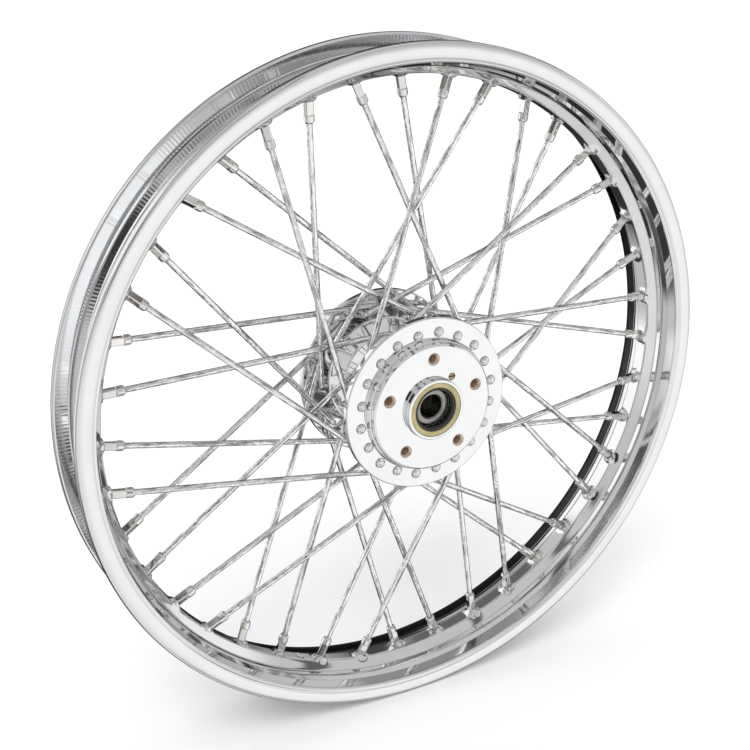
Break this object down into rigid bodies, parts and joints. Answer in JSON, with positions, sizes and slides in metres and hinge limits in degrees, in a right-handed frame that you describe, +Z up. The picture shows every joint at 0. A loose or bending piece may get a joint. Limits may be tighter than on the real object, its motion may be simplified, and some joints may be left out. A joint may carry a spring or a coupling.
{
  "type": "spoked wheel",
  "caption": "Laced wire-spoke motorcycle front wheel: drop-centre steel rim, flanged single-disc hub, crossed spokes, tapered roller bearings and oil seals.",
  "frame": {"origin": "on the axle axis, in the middle plane of the rim", "axes": "+Y along the axle, from the brake disc side towards the plain side; +Z up with the wheel standing; a disc bolt hole is straight up"},
  "size_m": [0.5634, 0.1125, 0.5634],
  "materials": {
    "rim_chrome": "bright chrome plate on steel",
    "hub_chrome": "bright chrome plate on cast aluminium",
    "spoke_chrome": "chrome plated spokes and nickel plated nipples",
    "bearing_steel": "ground bearing steel with a film of grease",
    "sleeve_steel": "oiled dark steel",
    "seal_case": "yellow zinc plated pressed steel",
    "seal_rubber": "moulded black nitrile rubber",
    "plug_metal": "dull plated brass"
  },
  "bodies": {
    "inner_races": {"bearing_cone_disc_side": "bearing_steel", "bearing_cone_plain_side": "bearing_steel", "bearing_spacer_sleeve": "sleeve_steel", "bearing_shim": "sleeve_steel"},
    "wheel": {"rim": "rim_chrome", "hub_shell": "hub_chrome", "hub_plug": "plug_metal", "spoke_disc_leading_01": "spoke_chrome", "spoke_disc_leading_02": "spoke_chrome", "spoke_disc_leading_03": "spoke_chrome", "spoke_disc_leading_04": "spoke_chrome", "spoke_disc_leading_05": "spoke_chrome", "spoke_disc_leading_06": "spoke_chrome", "spoke_disc_leading_07": "spoke_chrome", "spoke_disc_leading_08": "spoke_chrome", "spoke_disc_leading_09": "spoke_chrome", "spoke_disc_leading_10": "spoke_chrome", "spoke_plain_trailing_01": "spoke_chrome", "spoke_plain_trailing_02": "spoke_chrome", "spoke_plain_trailing_03": "spoke_chrome", "spoke_plain_trailing_04": "spoke_chrome", "spoke_plain_trailing_05": "spoke_chrome", "spoke_plain_trailing_06": "spoke_chrome", "spoke_plain_trailing_07": "spoke_chrome", "spoke_plain_trailing_08": "spoke_chrome", "spoke_plain_trailing_09": "spoke_chrome", "spoke_plain_trailing_10": "spoke_chrome", "spoke_disc_trailing_01": "spoke_chrome", "spoke_disc_trailing_02": "spoke_chrome", "spoke_disc_trailing_03": "spoke_chrome", "spoke_disc_trailing_04": "spoke_chrome", "spoke_disc_trailing_05": "spoke_chrome", "spoke_disc_trailing_06": "spoke_chrome", "spoke_disc_trailing_07": "spoke_chrome", "spoke_disc_trailing_08": "spoke_chrome", "spoke_disc_trailing_09": "spoke_chrome", "spoke_disc_trailing_10": "spoke_chrome", "spoke_plain_leading_01": "spoke_chrome", "spoke_plain_leading_02": "spoke_chrome", "spoke_plain_leading_03": "spoke_chrome", "spoke_plain_leading_04": "spoke_chrome", "spoke_plain_leading_05": "spoke_chrome", "spoke_plain_leading_06": "spoke_chrome", "spoke_plain_leading_07": "spoke_chrome", "spoke_plain_leading_08": "spoke_chrome", "spoke_plain_leading_09": "spoke_chrome", "spoke_plain_leading_10": "spoke_chrome", "bearing_cup_disc_side": "bearing_steel", "seal_case_disc_side": "seal_case", "seal_lip_disc_side": "seal_rubber", "bearing_cup_plain_side": "bearing_steel", "seal_case_plain_side": "seal_case", "seal_lip_plain_side": "seal_rubber"},
    "rollers_disc_side": {"roller_cage_disc_side": "bearing_steel"},
    "rollers_plain_side": {"roller_cage_plain_side": "bearing_steel"}
  },
  "joints": [
    {"name": "wheel_spin", "type": "hinge", "parent": "inner_races", "child": "wheel", "pos_m": [0, 0, 0], "axis": [0, 1, 0], "continuous": true},
    {"name": "rollers_disc_spin", "type": "hinge", "parent": "inner_races", "child": "rollers_disc_side", "pos_m": [0, -0.045, 0], "axis": [0, 1, 0], "continuous": true},
    {"name": "rollers_plain_spin", "type": "hinge", "parent": "inner_races", "child": "rollers_plain_side", "pos_m": [0, 0.036, 0], "axis": [0, 1, 0], "continuous": true}
  ],
  "couplings": [
    {"joint": "rollers_disc_spin", "follows": "wheel_spin", "ratio": 0.585},
    {"joint": "rollers_plain_spin", "follows": "wheel_spin", "ratio": 0.585}
  ]
}
